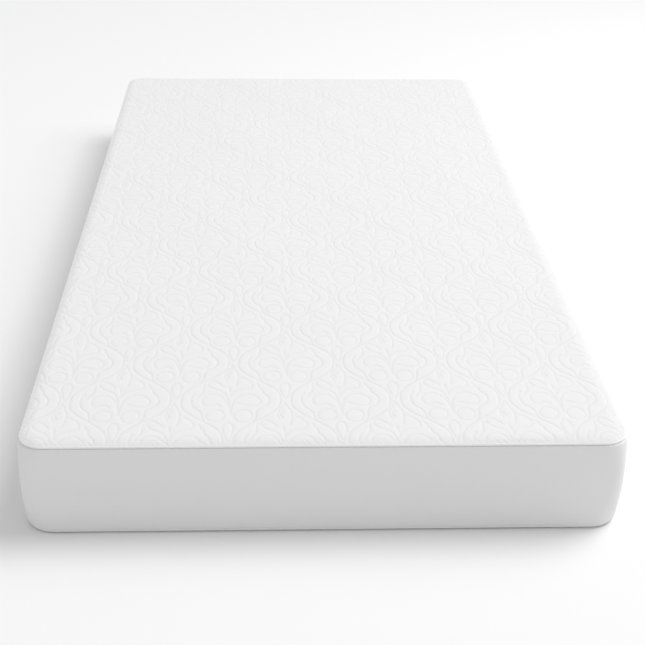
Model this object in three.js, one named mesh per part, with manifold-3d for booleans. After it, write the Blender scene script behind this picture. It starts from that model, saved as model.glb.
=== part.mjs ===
// A zip-covered memory foam mattress, in millimetres.
// The origin is at the bottom centre, +Z is up, +Y runs to the head end, and +X is to the right
// of someone who stands at the foot end and looks towards the head end.

import * as THREE from 'three';
import * as BufferGeometryUtils from 'three/addons/utils/BufferGeometryUtils.js';
import Module from 'manifold-3d';

const wasm = await Module();
wasm.setup();

// ---- Driving dimensions ------------------------------------------------------------------
// An inset is a distance in from the border's widest face. A pair of insets is [outer, inner].

const WIDTH = 1000;
const LENGTH = 2000;
const HEIGHT = 174;
const GAP = 0.3; // between touching pieces

const TOP_CORNER_RADIUS = 45; // seen from above, at the top seam
const BASE_CORNER_RADIUS = 54; // seen from above, at the bottom seam
const CORNER_TIGHTENING = 18; // how much less the border's own corners are, halfway up
const BORDER_DEPTH = 8; // how far in the border's face and padding follow those corners
const LEAST_ROUNDING = 8; // of the innermost outlines
const CORNER_STEPS = 8;

const SUPPORT_FOAM_HEIGHT = 100;
const MEMORY_FOAM_HEIGHT = 50;
const FOAM_EDGE_BEVEL = 12.8; // along the foot of the foam, where the border tucks under
const SLEEVE_INSET = 11.2;
const SLEEVE_THICKNESS = 1.2;
const SLEEVE_MOUTH = { width: 700, height: 60 };

const TOP_FABRIC_THICKNESS = 2;
const BACKING_THICKNESS = 0.8;
const BASE_PANEL_THICKNESS = 3;
const BASE_PANEL_INSET = 7;
const BORDER_THICKNESS = 2;
const PADDING_THICKNESS = 6;
const PADDING_BOTTOM_Z = 12;
const ALLOWANCE_THICKNESS = 1.2;
const ALLOWANCE_INSET = 13.5; // how far in the seam allowances reach

const BEAD_RADIUS = 2.2;
const BIAS_THICKNESS = 0.6;
const CORD_RADIUS = 1.2;
const FLANGE_DEPTH = 6.8;
const TOP_BEAD = { inset: 4.2, z: 167 };
const BASE_BEAD = { inset: 4.6, z: 4.6 };

// The border's outer face, from the base up, as [inset, z]: it bulges and tucks in at the base.
const BORDER_FACE = [
  [4.2, 7.6],
  [2.4, 10.4],
  [1.6, 14],
  [1.1, 22],
  [0.9, 32],
  [0.3, 56],
  [0, 84],
  [0, 124],
  [0.6, 147],
  [1.6, 156.4],
  [4.4, 164.2],
];

const REAR_SEAM_X = 424; // the upright seams where the border meets the head-end strips

const ZIP_Z = 45;
const ZIP_RECESS_HEIGHT = 16;
const ZIP_SLOT = 1.2; // between the two coils, where the slider's post runs
const TAPE_INSETS = [8.6, 9.4];
const TAPE_WIDTH = 16.4;
const COIL_INSETS = [6.5, 8.3];
const COIL_WIDTH = 2.6;
const COIL_BEVEL = 0.6;
const COIL_HALF_LENGTH = 380;
const STOP_INSETS = [6.4, 8.3];
const STOP_WIDTH = 2.8;
const STOP_LENGTH = 3;
const END_PATCH_INSETS = [1.2, 8.3];
const END_PATCH_LENGTH = 20;

const SLIDER_X = -371; // the closed end of the zip
const SLIDER_LENGTH = 13;
const SLIDER_SHOULDER_WIDTH = 10.4;
const SLIDER_TAIL_WIDTH = 8.4;
const SLIDER_FACE_INSETS = [5, 6.2];
const SLIDER_BACK_INSETS = [9.7, 10.7];
const SLIDER_FLANGE_INSETS = [5.6, 8.2];
const SLIDER_FLANGE_THICKNESS = 0.7;
const SLIDER_POST = { start: -3.4, length: 3, thickness: 0.6 };
const BRIDGE = { halfLength: 3.6, width: 2.4, thickness: 1, topInset: 1.7 };

const PULL_LENGTH = 24;
const PULL_INSETS = [3.25, 4.45];
const PULL_NECK = { length: 9, width: 6.4 };
const PULL_END_WIDTH = 8;
const PULL_BAR_WIDTH = 1.4;
const PULL_EYE = { length: 6, width: 3.6 };
const PULL_HOLE_RADIUS = 1.6;

const LABEL = { x: 352, width: 38, thickness: 0.6, bottomZ: 8.2, topZ: 28 };

// ---- Levels that follow from them --------------------------------------------------------

const rear = LENGTH / 2;
const sleeveBottom = BASE_PANEL_THICKNESS + GAP;
const supportBottom = sleeveBottom + SLEEVE_THICKNESS + GAP;
const memoryBottom = supportBottom + SUPPORT_FOAM_HEIGHT + GAP;
const sleeveTop = memoryBottom + MEMORY_FOAM_HEIGHT + GAP + SLEEVE_THICKNESS;
const backingBottom = sleeveTop + GAP;
const waddingBottom = backingBottom + BACKING_THICKNESS + GAP;
const fabricUnderside = HEIGHT - TOP_FABRIC_THICKNESS;
const faceBottom = BORDER_FACE[0][1];
const faceTop = BORDER_FACE.at(-1)[1];
const recessBottom = ZIP_Z - ZIP_RECESS_HEIGHT / 2;
const recessTop = ZIP_Z + ZIP_RECESS_HEIGHT / 2;
const lipInset = TAPE_INSETS[0] - GAP; // where the strips' folded edges meet the zip's tapes

// ---- Materials ---------------------------------------------------------------------------

function material(color, roughness, metalness = 0) {
  return new THREE.MeshStandardMaterial({ color, roughness, metalness });
}

const quiltKnit = material(0xf4f4f5, 0.9);
const borderKnit = material(0xe6e6e8, 0.85);
const baseKnit = material(0xe2e2e4, 0.95);
const biasStrip = material(0xf7f7f8, 0.7);
const wadding = material(0xfafafa, 1);
const nonWoven = material(0xf0f0f0, 0.95);
const laminateFoam = material(0xf5f2e8, 1);
const sleeveKnit = material(0xeeeeea, 0.95);
const memoryFoam = material(0xf6efdc, 1);
const supportFoam = material(0xdfe6ee, 1);
const tapeWeave = material(0xf2f2f3, 0.85);
const nylon = material(0xf5f5f5, 0.45);
const zinc = material(0xc9cacc, 0.35, 1);
const satin = material(0xfbfbfb, 0.5);

// ---- The outline, as stations that turn an inset and a height into a place ----------------

// The seams' corners are rounder than the border's between them, where it stands proud.
function cornerRadius(inset, z) {
  const share = THREE.MathUtils.clamp(z / TOP_BEAD.z, 0, 1);
  const tightening = inset < BORDER_DEPTH ? CORNER_TIGHTENING * 4 * share * (1 - share) : 0;
  return THREE.MathUtils.lerp(BASE_CORNER_RADIUS, TOP_CORNER_RADIUS, share) - tightening;
}

function cornerStation(signX, signY, angle) {
  return (inset, z) => {
    const rounding = Math.max(cornerRadius(inset, z) - inset, LEAST_ROUNDING);
    const x = signX * (WIDTH / 2 - inset - rounding) + rounding * Math.cos(angle);
    const y = signY * (LENGTH / 2 - inset - rounding) + rounding * Math.sin(angle);
    return new THREE.Vector3(x, y, z);
  };
}

function rearStation(x) {
  return (inset, z) => new THREE.Vector3(x, rear - inset, z);
}

function corner(signX, signY, startAngle) {
  const stations = [];
  for (let i = 0; i <= CORNER_STEPS; i += 1) {
    stations.push(cornerStation(signX, signY, startAngle + ((i / CORNER_STEPS) * Math.PI) / 2));
  }
  return stations;
}

const allRound = [
  ...corner(-1, 1, Math.PI / 2),
  ...corner(-1, -1, Math.PI),
  ...corner(1, -1, 1.5 * Math.PI),
  ...corner(1, 1, 0),
];
const threeSides = [rearStation(-REAR_SEAM_X), ...allRound, rearStation(REAR_SEAM_X)];
const headEnd = [rearStation(REAR_SEAM_X - GAP), rearStation(GAP - REAR_SEAM_X)];

// ---- Geometry helpers --------------------------------------------------------------------

// Turns every triangle round if the closed mesh faces inwards.
function outward(geometry) {
  const position = geometry.getAttribute('position');
  const index = geometry.getIndex();
  const [a, b, c] = [new THREE.Vector3(), new THREE.Vector3(), new THREE.Vector3()];
  let volume = 0;
  for (let i = 0; i < index.count; i += 3) {
    a.fromBufferAttribute(position, index.getX(i));
    b.fromBufferAttribute(position, index.getX(i + 1));
    c.fromBufferAttribute(position, index.getX(i + 2));
    volume += a.dot(b.cross(c));
  }
  if (volume < 0) {
    index.array.reverse();
  }
  geometry.computeVertexNormals();
  return geometry;
}

function build(points, triangles) {
  const geometry = new THREE.BufferGeometry();
  const positions = points.flatMap((point) => point.toArray());
  geometry.setAttribute('position', new THREE.Float32BufferAttribute(positions, 3));
  geometry.setIndex(triangles.flat());
  return outward(geometry);
}

// Two triangles for each quad between one closed row of points and another.
function joinRows(fromRow, toRow, count) {
  const triangles = [];
  for (let i = 0; i < count; i += 1) {
    const j = (i + 1) % count;
    triangles.push([fromRow + i, fromRow + j, toRow + j], [fromRow + i, toRow + j, toRow + i]);
  }
  return triangles;
}

// A section's own triangles, all wound the way that the section runs.
function capTriangles(section) {
  const contour = section.map(([inset, z]) => new THREE.Vector2(inset, z));
  const clockwise = THREE.ShapeUtils.isClockWise(contour);
  return THREE.ShapeUtils.triangulateShape(contour, []).map(([a, b, c]) => {
    const same = THREE.ShapeUtils.isClockWise([contour[a], contour[b], contour[c]]) === clockwise;
    return same ? [a, b, c] : [a, c, b];
  });
}

// Sweeps a section, a list of [inset, z], past the stations and closes its two ends.
function strip(section, stations) {
  const size = section.length;
  const end = (stations.length - 1) * size;
  const points = stations.flatMap((station) => section.map(([inset, z]) => station(inset, z)));
  const triangles = [];
  for (let row = 0; row < end; row += size) {
    triangles.push(...joinRows(row, row + size, size));
  }
  for (const [a, b, c] of capTriangles(section)) {
    triangles.push([c, b, a], [end + a, end + b, end + c]);
  }
  return build(points, triangles);
}

// Sweeps a section right round the mattress.
function ring(section) {
  const size = section.length;
  const points = allRound.flatMap((station) => section.map(([inset, z]) => station(inset, z)));
  const triangles = [];
  for (let s = 0; s < allRound.length; s += 1) {
    triangles.push(...joinRows(s * size, ((s + 1) % allRound.length) * size, size));
  }
  return build(points, triangles);
}

// Stacks rounded rectangles, a list of [inset, z], and closes the first and last at the middle.
function stack(levels) {
  const count = allRound.length;
  const points = levels.flatMap(([inset, z]) => allRound.map((station) => station(inset, z)));
  const firstMiddle = points.length;
  const lastRow = firstMiddle - count;
  points.push(new THREE.Vector3(0, 0, levels[0][1]), new THREE.Vector3(0, 0, levels.at(-1)[1]));
  const triangles = [];
  for (let row = 0; row < lastRow; row += count) {
    triangles.push(...joinRows(row, row + count, count));
  }
  for (let i = 0; i < count; i += 1) {
    const j = (i + 1) % count;
    triangles.push([firstMiddle, j, i], [firstMiddle + 1, lastRow + i, lastRow + j]);
  }
  return build(points, triangles);
}

// A box at the head end, between two x values, two insets and two heights, in any order.
function headBox([x0, x1], [outer, inner], [z0, z1]) {
  const box = new THREE.BoxGeometry(Math.abs(x1 - x0), inner - outer, Math.abs(z1 - z0));
  return box.translate((x0 + x1) / 2, rear - (outer + inner) / 2, (z0 + z1) / 2);
}

// A shape drawn along and up the zip, given thickness between two insets.
function headPlate(shape, [outer, inner]) {
  const options = { depth: inner - outer, bevelEnabled: false, curveSegments: 8 };
  const plate = new THREE.ExtrudeGeometry(shape, options);
  return plate.rotateX(Math.PI / 2).translate(SLIDER_X, rear - outer, ZIP_Z);
}

function toSolid(geometry) {
  const bare = geometry.clone();
  bare.deleteAttribute('normal');
  bare.deleteAttribute('uv');
  const merged = BufferGeometryUtils.mergeVertices(bare);
  const vertProperties = new Float32Array(merged.getAttribute('position').array);
  const triVerts = new Uint32Array(merged.getIndex().array);
  return new wasm.Manifold(new wasm.Mesh({ numProp: 3, vertProperties, triVerts }));
}

function fromSolid(solid) {
  const mesh = solid.getMesh();
  const geometry = new THREE.BufferGeometry();
  geometry.setAttribute('position', new THREE.Float32BufferAttribute(mesh.vertProperties, 3));
  geometry.setIndex(Array.from(mesh.triVerts));
  geometry.computeVertexNormals();
  return geometry;
}

function union(geometries) {
  const [first, ...others] = geometries.map(toSolid);
  return fromSolid(others.reduce((whole, piece) => whole.add(piece), first));
}

function part(name, geometry, finish) {
  const mesh = new THREE.Mesh(geometry, finish);
  mesh.name = name;
  return mesh;
}

function group(...children) {
  return new THREE.Group().add(...children);
}

// ---- Foam and its sleeve -----------------------------------------------------------------

const foamInset = SLEEVE_INSET + SLEEVE_THICKNESS + GAP;

function supportCore() {
  return stack([
    [foamInset + FOAM_EDGE_BEVEL, supportBottom],
    [foamInset, supportBottom + FOAM_EDGE_BEVEL],
    [foamInset, supportBottom + SUPPORT_FOAM_HEIGHT],
  ]);
}

function memoryLayer() {
  return stack([
    [foamInset, memoryBottom],
    [foamInset, memoryBottom + MEMORY_FOAM_HEIGHT],
  ]);
}

// A sock of even thickness, with a mouth in its head end through which the foam goes in.
function sleeve() {
  const bevelSetBack = SLEEVE_THICKNESS * (Math.SQRT2 - 1);
  const innerInset = SLEEVE_INSET + SLEEVE_THICKNESS;
  const outside = stack([
    [SLEEVE_INSET + FOAM_EDGE_BEVEL, sleeveBottom],
    [SLEEVE_INSET, sleeveBottom + FOAM_EDGE_BEVEL],
    [SLEEVE_INSET, sleeveTop],
  ]);
  const inside = stack([
    [SLEEVE_INSET + FOAM_EDGE_BEVEL + bevelSetBack, sleeveBottom + SLEEVE_THICKNESS],
    [innerInset, sleeveBottom + FOAM_EDGE_BEVEL + bevelSetBack],
    [innerInset, sleeveTop - SLEEVE_THICKNESS],
  ]);
  const middle = (sleeveBottom + sleeveTop) / 2;
  const mouth = headBox(
    [-SLEEVE_MOUTH.width / 2, SLEEVE_MOUTH.width / 2],
    [SLEEVE_INSET - GAP, innerInset + GAP],
    [middle - SLEEVE_MOUTH.height / 2, middle + SLEEVE_MOUTH.height / 2],
  );
  return fromSolid(toSolid(outside).subtract(toSolid(inside)).subtract(toSolid(mouth)));
}

// ---- Quilted top -------------------------------------------------------------------------

// A skin whose edge rolls down to the piping and turns in as a seam allowance.
function topFabric() {
  return stack([
    [60, HEIGHT],
    [34, HEIGHT - 0.4],
    [20, HEIGHT - 1.2],
    [11, HEIGHT - 2.6],
    [6.6, HEIGHT - 4.6],
    [6.6, TOP_BEAD.z + 1],
    [ALLOWANCE_INSET, TOP_BEAD.z + 1],
    [ALLOWANCE_INSET, TOP_BEAD.z + 1.8],
    [20, fabricUnderside - 1.4],
    [34, fabricUnderside - 0.4],
    [60, fabricUnderside],
  ]);
}

function topWadding() {
  const edge = ALLOWANCE_INSET + GAP;
  return stack([
    [edge, waddingBottom],
    [edge, TOP_BEAD.z],
    [16, TOP_BEAD.z + 1.6],
    [22, fabricUnderside - 1.6],
    [34, fabricUnderside - 0.8],
    [60, fabricUnderside - GAP],
  ]);
}

function topBacking() {
  const edge = ALLOWANCE_INSET + GAP;
  return stack([
    [edge, backingBottom],
    [edge, backingBottom + BACKING_THICKNESS],
  ]);
}

// ---- Piping ------------------------------------------------------------------------------

// Points round a bead, by the angle from its outermost side.
function beadArc({ inset, z }, radius, from, to, steps) {
  const points = [];
  for (let i = 0; i <= steps; i += 1) {
    const angle = THREE.MathUtils.lerp(from, to, i / steps);
    points.push([inset - radius * Math.cos(angle), z + radius * Math.sin(angle)]);
  }
  return points;
}

function pipingCord(bead) {
  return ring(beadArc(bead, CORD_RADIUS, 0, 1.75 * Math.PI, 7));
}

// A bias strip folded round the cord, whose two plies leave a slit between them.
function pipingCover(bead) {
  const hollow = BEAD_RADIUS - BIAS_THICKNESS;
  const slit = Math.asin(GAP / BEAD_RADIUS);
  const outerPly = BEAD_RADIUS * Math.sin(2 * slit);
  const innerPly = hollow * Math.sin(slit);
  const tip = bead.inset + BEAD_RADIUS + FLANGE_DEPTH;
  return ring([
    ...beadArc(bead, BEAD_RADIUS, 2 * slit - Math.PI, Math.PI - 2 * slit, 12),
    [tip, bead.z + outerPly],
    [tip, bead.z + innerPly],
    ...beadArc(bead, hollow, Math.PI - slit, slit - Math.PI, 10),
    [tip, bead.z - innerPly],
    [tip, bead.z - outerPly],
  ]);
}

// ---- Border ------------------------------------------------------------------------------

function faceInset(z) {
  const upper = Math.max(1, BORDER_FACE.findIndex(([, height]) => height >= z));
  const [insetBelow, zBelow] = BORDER_FACE[upper - 1];
  const [insetAbove, zAbove] = BORDER_FACE[upper];
  return THREE.MathUtils.mapLinear(z, zBelow, zAbove, insetBelow, insetAbove);
}

// The face between two heights, set back by a distance.
function facePoints(from, to, setBack = 0) {
  const between = BORDER_FACE.filter(([, z]) => z > from && z < to);
  const points = [[faceInset(from), from], ...between, [faceInset(to), to]];
  return points.map(([inset, z]) => [inset + setBack, z]);
}

// A strip of border whose edges turn in, each as far as the inset given for it.
function borderSection(from, to, lowerReach, upperReach) {
  const insideFrom = from + ALLOWANCE_THICKNESS;
  const insideTo = to - ALLOWANCE_THICKNESS;
  return [
    ...facePoints(from, to),
    [upperReach, to],
    [upperReach, insideTo],
    ...facePoints(insideFrom, insideTo, BORDER_THICKNESS).reverse(),
    [lowerReach, insideFrom],
    [lowerReach, from],
  ];
}

function paddingSection(from, to) {
  const outer = BORDER_THICKNESS + GAP;
  const inner = outer + PADDING_THICKNESS;
  return [...facePoints(from, to, outer), [inner, to], [inner, from]];
}

const edgeToPadding = ALLOWANCE_THICKNESS + GAP;
const wholeBorder = borderSection(faceBottom, faceTop, ALLOWANCE_INSET, ALLOWANCE_INSET);
const upperBorder = borderSection(recessTop, faceTop, lipInset, ALLOWANCE_INSET);
const lowerBorder = borderSection(faceBottom, recessBottom, ALLOWANCE_INSET, lipInset);
const wholePadding = paddingSection(PADDING_BOTTOM_Z, faceTop - edgeToPadding);
const upperPadding = paddingSection(recessTop + edgeToPadding, faceTop - edgeToPadding);
const lowerPadding = paddingSection(PADDING_BOTTOM_Z, recessBottom - edgeToPadding);

// A blank strip that lies on the lower part of the head end.
function careLabel() {
  const outer = facePoints(LABEL.bottomZ, LABEL.topZ, -GAP - LABEL.thickness);
  const inner = facePoints(LABEL.bottomZ, LABEL.topZ, -GAP).reverse();
  const ends = [rearStation(LABEL.x + LABEL.width / 2), rearStation(LABEL.x - LABEL.width / 2)];
  return strip([...outer, ...inner], ends);
}

// ---- Zip: side is 1 for the upper half and -1 for the lower -------------------------------

function tape(side) {
  const near = ZIP_Z + (side * ZIP_SLOT) / 2;
  const end = REAR_SEAM_X - 2 * GAP;
  return headBox([-end, end], TAPE_INSETS, [near, near + side * TAPE_WIDTH]);
}

// A coil as one bar with its outer edges taken off.
function coil(side) {
  const near = (side * ZIP_SLOT) / 2;
  const far = near + side * COIL_WIDTH;
  const bevel = side * COIL_BEVEL;
  const depth = COIL_INSETS[1] - COIL_INSETS[0];
  const shape = new THREE.Shape([
    new THREE.Vector2(near, 0),
    new THREE.Vector2(far, 0),
    new THREE.Vector2(far, depth - COIL_BEVEL),
    new THREE.Vector2(far - bevel, depth),
    new THREE.Vector2(near + bevel, depth),
    new THREE.Vector2(near, depth - COIL_BEVEL),
  ]);
  const options = { depth: 2 * COIL_HALF_LENGTH, bevelEnabled: false };
  const bar = new THREE.ExtrudeGeometry(shape, options);
  return bar.rotateY(-Math.PI / 2).translate(COIL_HALF_LENGTH, rear - COIL_INSETS[1], ZIP_Z);
}

function topStop(side) {
  const near = ZIP_Z + (side * ZIP_SLOT) / 2;
  const end = -COIL_HALF_LENGTH - GAP;
  return headBox([end - STOP_LENGTH, end], STOP_INSETS, [near, near + side * STOP_WIDTH]);
}

function bottomStop() {
  const start = COIL_HALF_LENGTH + GAP;
  const half = ZIP_SLOT / 2 + STOP_WIDTH;
  return headBox([start, start + STOP_LENGTH], STOP_INSETS, [ZIP_Z - half, ZIP_Z + half]);
}

function endPatch(side) {
  const outer = side * (REAR_SEAM_X - 2 * GAP);
  const inner = outer - side * END_PATCH_LENGTH;
  return headBox([outer, inner], END_PATCH_INSETS, [recessBottom + GAP, recessTop - GAP]);
}

// Wide at the shoulder, where the coils come in, and narrow at the tail, where they mesh.
function sliderOutline() {
  const front = -SLIDER_LENGTH / 2;
  const back = SLIDER_LENGTH / 2;
  const shoulder = SLIDER_SHOULDER_WIDTH / 2;
  const tail = SLIDER_TAIL_WIDTH / 2;
  const rounding = 2;
  const chamfer = 1;
  const shape = new THREE.Shape();
  shape.moveTo(front + rounding, -shoulder);
  shape.lineTo(0, -shoulder);
  shape.lineTo(back - chamfer, -tail);
  shape.lineTo(back, chamfer - tail);
  shape.lineTo(back, tail - chamfer);
  shape.lineTo(back - chamfer, tail);
  shape.lineTo(0, shoulder);
  shape.lineTo(front + rounding, shoulder);
  shape.quadraticCurveTo(front, shoulder, front, shoulder - rounding);
  shape.lineTo(front, rounding - shoulder);
  shape.quadraticCurveTo(front, -shoulder, front + rounding, -shoulder);
  return shape;
}

// The arch over the slider's face, under which the pull's bar turns.
function bridge() {
  const { halfLength, width, thickness, topInset } = BRIDGE;
  const foot = SLIDER_FACE_INSETS[0] + GAP;
  const height = foot - topInset;
  const shape = new THREE.Shape();
  shape.moveTo(-halfLength, 0);
  shape.lineTo(thickness - halfLength, 0);
  shape.lineTo(thickness - halfLength, height - thickness);
  shape.lineTo(halfLength - thickness, height - thickness);
  shape.lineTo(halfLength - thickness, 0);
  shape.lineTo(halfLength, 0);
  shape.lineTo(halfLength, height - thickness);
  shape.quadraticCurveTo(halfLength, height, halfLength - thickness, height);
  shape.lineTo(thickness - halfLength, height);
  shape.quadraticCurveTo(-halfLength, height, -halfLength, height - thickness);
  const options = { depth: width, bevelEnabled: false, curveSegments: 4 };
  const arch = new THREE.ExtrudeGeometry(shape, options);
  return arch.translate(SLIDER_X, rear - foot, ZIP_Z - width / 2);
}

function sliderFlange(side) {
  const outer = ZIP_Z + (side * SLIDER_TAIL_WIDTH) / 2;
  const inner = outer - side * SLIDER_FLANGE_THICKNESS;
  return headBox([SLIDER_X - 3, SLIDER_X + 5], SLIDER_FLANGE_INSETS, [outer, inner]);
}

function slider() {
  const postStart = SLIDER_X + SLIDER_POST.start;
  const post = headBox(
    [postStart, postStart + SLIDER_POST.length],
    [SLIDER_FACE_INSETS[1] - GAP, SLIDER_BACK_INSETS[0] + GAP],
    [ZIP_Z - SLIDER_POST.thickness / 2, ZIP_Z + SLIDER_POST.thickness / 2],
  );
  return union([
    headPlate(sliderOutline(), SLIDER_FACE_INSETS),
    headPlate(sliderOutline(), SLIDER_BACK_INSETS),
    post,
    bridge(),
    sliderFlange(1),
    sliderFlange(-1),
  ]);
}

// The pull lies along the zip, with its bar, at the shape's origin, under the bridge.
function pull() {
  const start = -PULL_BAR_WIDTH / 2;
  const end = start + PULL_LENGTH;
  const neck = PULL_NECK.width / 2;
  const rounding = PULL_END_WIDTH / 2;
  const shape = new THREE.Shape();
  shape.moveTo(start, -neck);
  shape.lineTo(start + PULL_NECK.length, -neck);
  shape.lineTo(end - rounding, -rounding);
  shape.absarc(end - rounding, 0, rounding, -Math.PI / 2, Math.PI / 2, false);
  shape.lineTo(start + PULL_NECK.length, neck);
  shape.lineTo(start, neck);
  const eye = new THREE.Path();
  eye.moveTo(-start, -PULL_EYE.width / 2);
  eye.lineTo(-start, PULL_EYE.width / 2);
  eye.lineTo(PULL_EYE.length - start, PULL_EYE.width / 2);
  eye.lineTo(PULL_EYE.length - start, -PULL_EYE.width / 2);
  const hole = new THREE.Path();
  hole.absarc(end - rounding, 0, PULL_HOLE_RADIUS, 0, 2 * Math.PI, true);
  shape.holes.push(eye, hole);
  return headPlate(shape, PULL_INSETS);
}

// ---- Assembly ----------------------------------------------------------------------------

const foam = group(
  part('support_foam_core', supportCore(), supportFoam),
  part('memory_foam_layer', memoryLayer(), memoryFoam),
  part('inner_sleeve', sleeve(), sleeveKnit),
);

const quiltedTop = group(
  part('top_panel_fabric', topFabric(), quiltKnit),
  part('top_panel_wadding', topWadding(), wadding),
  part('top_panel_backing', topBacking(), nonWoven),
);

const pipings = group(
  part('top_piping_cover', pipingCover(TOP_BEAD), biasStrip),
  part('top_piping_cord', pipingCord(TOP_BEAD), wadding),
  part('bottom_piping_cover', pipingCover(BASE_BEAD), biasStrip),
  part('bottom_piping_cord', pipingCord(BASE_BEAD), wadding),
);

const basePanel = stack([
  [BASE_PANEL_INSET, 0],
  [BASE_PANEL_INSET, BASE_PANEL_THICKNESS],
]);

const sides = group(
  part('border_fabric', strip(wholeBorder, threeSides), borderKnit),
  part('border_padding', strip(wholePadding, threeSides), laminateFoam),
  part('head_border_upper', strip(upperBorder, headEnd), borderKnit),
  part('head_padding_upper', strip(upperPadding, headEnd), laminateFoam),
  part('head_border_lower', strip(lowerBorder, headEnd), borderKnit),
  part('head_padding_lower', strip(lowerPadding, headEnd), laminateFoam),
  part('base_panel_fabric', basePanel, baseKnit),
  part('care_label', careLabel(), satin),
);

const fixedZip = group(
  part('zip_tape_upper', tape(1), tapeWeave),
  part('zip_tape_lower', tape(-1), tapeWeave),
  part('zip_coil_upper', coil(1), nylon),
  part('zip_coil_lower', coil(-1), nylon),
  part('zip_top_stop_upper', topStop(1), zinc),
  part('zip_top_stop_lower', topStop(-1), zinc),
  part('zip_bottom_stop', bottomStop(), zinc),
  part('zip_end_patch_closed', endPatch(-1), tapeWeave),
  part('zip_end_patch_open', endPatch(1), tapeWeave),
);

const movingZip = group(
  part('zip_slider', slider(), zinc),
  part('zip_pull', pull(), zinc),
);

export default group(foam, quiltedTop, pipings, sides, fixedZip, movingZip);
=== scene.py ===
"""A memory foam mattress: its quilted cover, piping, zip and foam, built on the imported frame."""

import math

import bmesh
import bpy
import numpy as np
from mathutils import Matrix, Vector, kdtree


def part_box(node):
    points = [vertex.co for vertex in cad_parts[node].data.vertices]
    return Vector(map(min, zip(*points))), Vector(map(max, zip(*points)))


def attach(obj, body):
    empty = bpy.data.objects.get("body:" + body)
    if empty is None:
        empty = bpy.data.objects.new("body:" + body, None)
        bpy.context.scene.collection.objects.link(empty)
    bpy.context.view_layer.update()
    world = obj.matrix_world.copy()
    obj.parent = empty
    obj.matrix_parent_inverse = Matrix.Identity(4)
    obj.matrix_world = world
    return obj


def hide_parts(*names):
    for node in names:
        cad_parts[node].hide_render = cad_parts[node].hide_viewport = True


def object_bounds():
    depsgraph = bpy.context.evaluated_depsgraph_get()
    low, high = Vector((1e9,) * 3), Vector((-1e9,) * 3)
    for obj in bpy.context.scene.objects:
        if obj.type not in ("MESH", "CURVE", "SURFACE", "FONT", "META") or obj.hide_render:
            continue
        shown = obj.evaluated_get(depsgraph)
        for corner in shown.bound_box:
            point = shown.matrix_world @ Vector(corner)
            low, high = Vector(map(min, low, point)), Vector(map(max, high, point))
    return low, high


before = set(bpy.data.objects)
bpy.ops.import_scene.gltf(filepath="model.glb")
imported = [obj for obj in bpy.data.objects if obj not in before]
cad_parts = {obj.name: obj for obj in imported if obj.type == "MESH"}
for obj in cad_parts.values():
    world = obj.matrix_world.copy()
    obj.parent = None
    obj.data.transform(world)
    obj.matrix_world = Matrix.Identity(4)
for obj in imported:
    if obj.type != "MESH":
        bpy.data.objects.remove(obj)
CAD_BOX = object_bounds()

# ---- Sizes, in metres, from the frame -----------------------------------------------------
# An inset is a distance in from the border's widest face.

MM = 0.001
CLEARANCE = 0.3 * MM
SEAM_GAP = CLEARANCE / 3  # between a piping and the cloth that meets it
low, high = CAD_BOX
WIDTH = high.x - low.x
LENGTH = high.y - low.y
TOP = high.z
REAR = high.y

BEAD_RADIUS = 2.2 * MM
TOP_CORNER_RADIUS = 45 * MM
BASE_CORNER_RADIUS = 54 * MM
CORNER_TIGHTENING = 18 * MM  # how much less the border's corners are rounded, halfway up
ALLOWANCE_INSET = 13.5 * MM
ALLOWANCE_THICKNESS = 1.2 * MM
FABRIC_THICKNESS = 2 * MM
PADDING_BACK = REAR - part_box("head_padding_upper")[0].y


def bead_place(node):
    """(inset, z) of the middle of the piping that a CAD node stands for."""
    a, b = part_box(node)
    return high.x - b.x + BEAD_RADIUS, a.z + BEAD_RADIUS


TOP_BEAD = bead_place("top_piping_cover")
BASE_BEAD = bead_place("bottom_piping_cover")
FACE_LOW = BASE_BEAD[1] + BEAD_RADIUS + SEAM_GAP
FACE_HIGH = TOP_BEAD[1] - BEAD_RADIUS - SEAM_GAP
SEAM_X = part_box("head_border_upper")[1].x + CLEARANCE
RECESS_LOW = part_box("head_border_lower")[1].z
RECESS_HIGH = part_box("head_border_upper")[0].z
ZIP_Z = (RECESS_LOW + RECESS_HIGH) / 2

# ---- Camera, light and floor --------------------------------------------------------------

CAMERA_PLACE = Vector((-0.0887, -2.7934, 1.3204))
CAMERA_DOWN = math.radians(27.325)
CAMERA_TURN = math.radians(2.536)  # to the right of the mattress's length
CAMERA_ROLL = math.radians(0.956)
PICTURE_WIDTHS = 2.0468  # focal length, in widths of the picture
SENSOR = 36

SKY_STRENGTH = 0.57
WINDOW_PLACE = (2.7, 0.5, 2.8)
WINDOW_WATTS = 42
WINDOW_WIDTH = 2.5
SKYLIGHT_PLACE = (2.8, 1.35, 5.1)
SKYLIGHT_STRENGTH = 1.25
SKYLIGHT_ANGLE = math.radians(32)
FLOOR_REACH = 80
FLOOR_LEVEL = 0.91


def make_camera():
    ahead = Vector((
        math.sin(CAMERA_TURN) * math.cos(CAMERA_DOWN),
        math.cos(CAMERA_TURN) * math.cos(CAMERA_DOWN),
        -math.sin(CAMERA_DOWN),
    ))
    level = Vector((math.cos(CAMERA_TURN), -math.sin(CAMERA_TURN), 0))
    upright = level.cross(ahead)
    right = math.cos(CAMERA_ROLL) * level + math.sin(CAMERA_ROLL) * upright
    up = right.cross(ahead)
    data = bpy.data.cameras.new("camera")
    data.sensor_width = SENSOR
    data.lens = SENSOR * PICTURE_WIDTHS
    camera = bpy.data.objects.new("camera", data)
    axes = Matrix((right, up, -ahead)).transposed()
    camera.matrix_world = Matrix.Translation(CAMERA_PLACE) @ axes.to_4x4()
    bpy.context.scene.collection.objects.link(camera)
    bpy.context.scene.camera = camera


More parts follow.
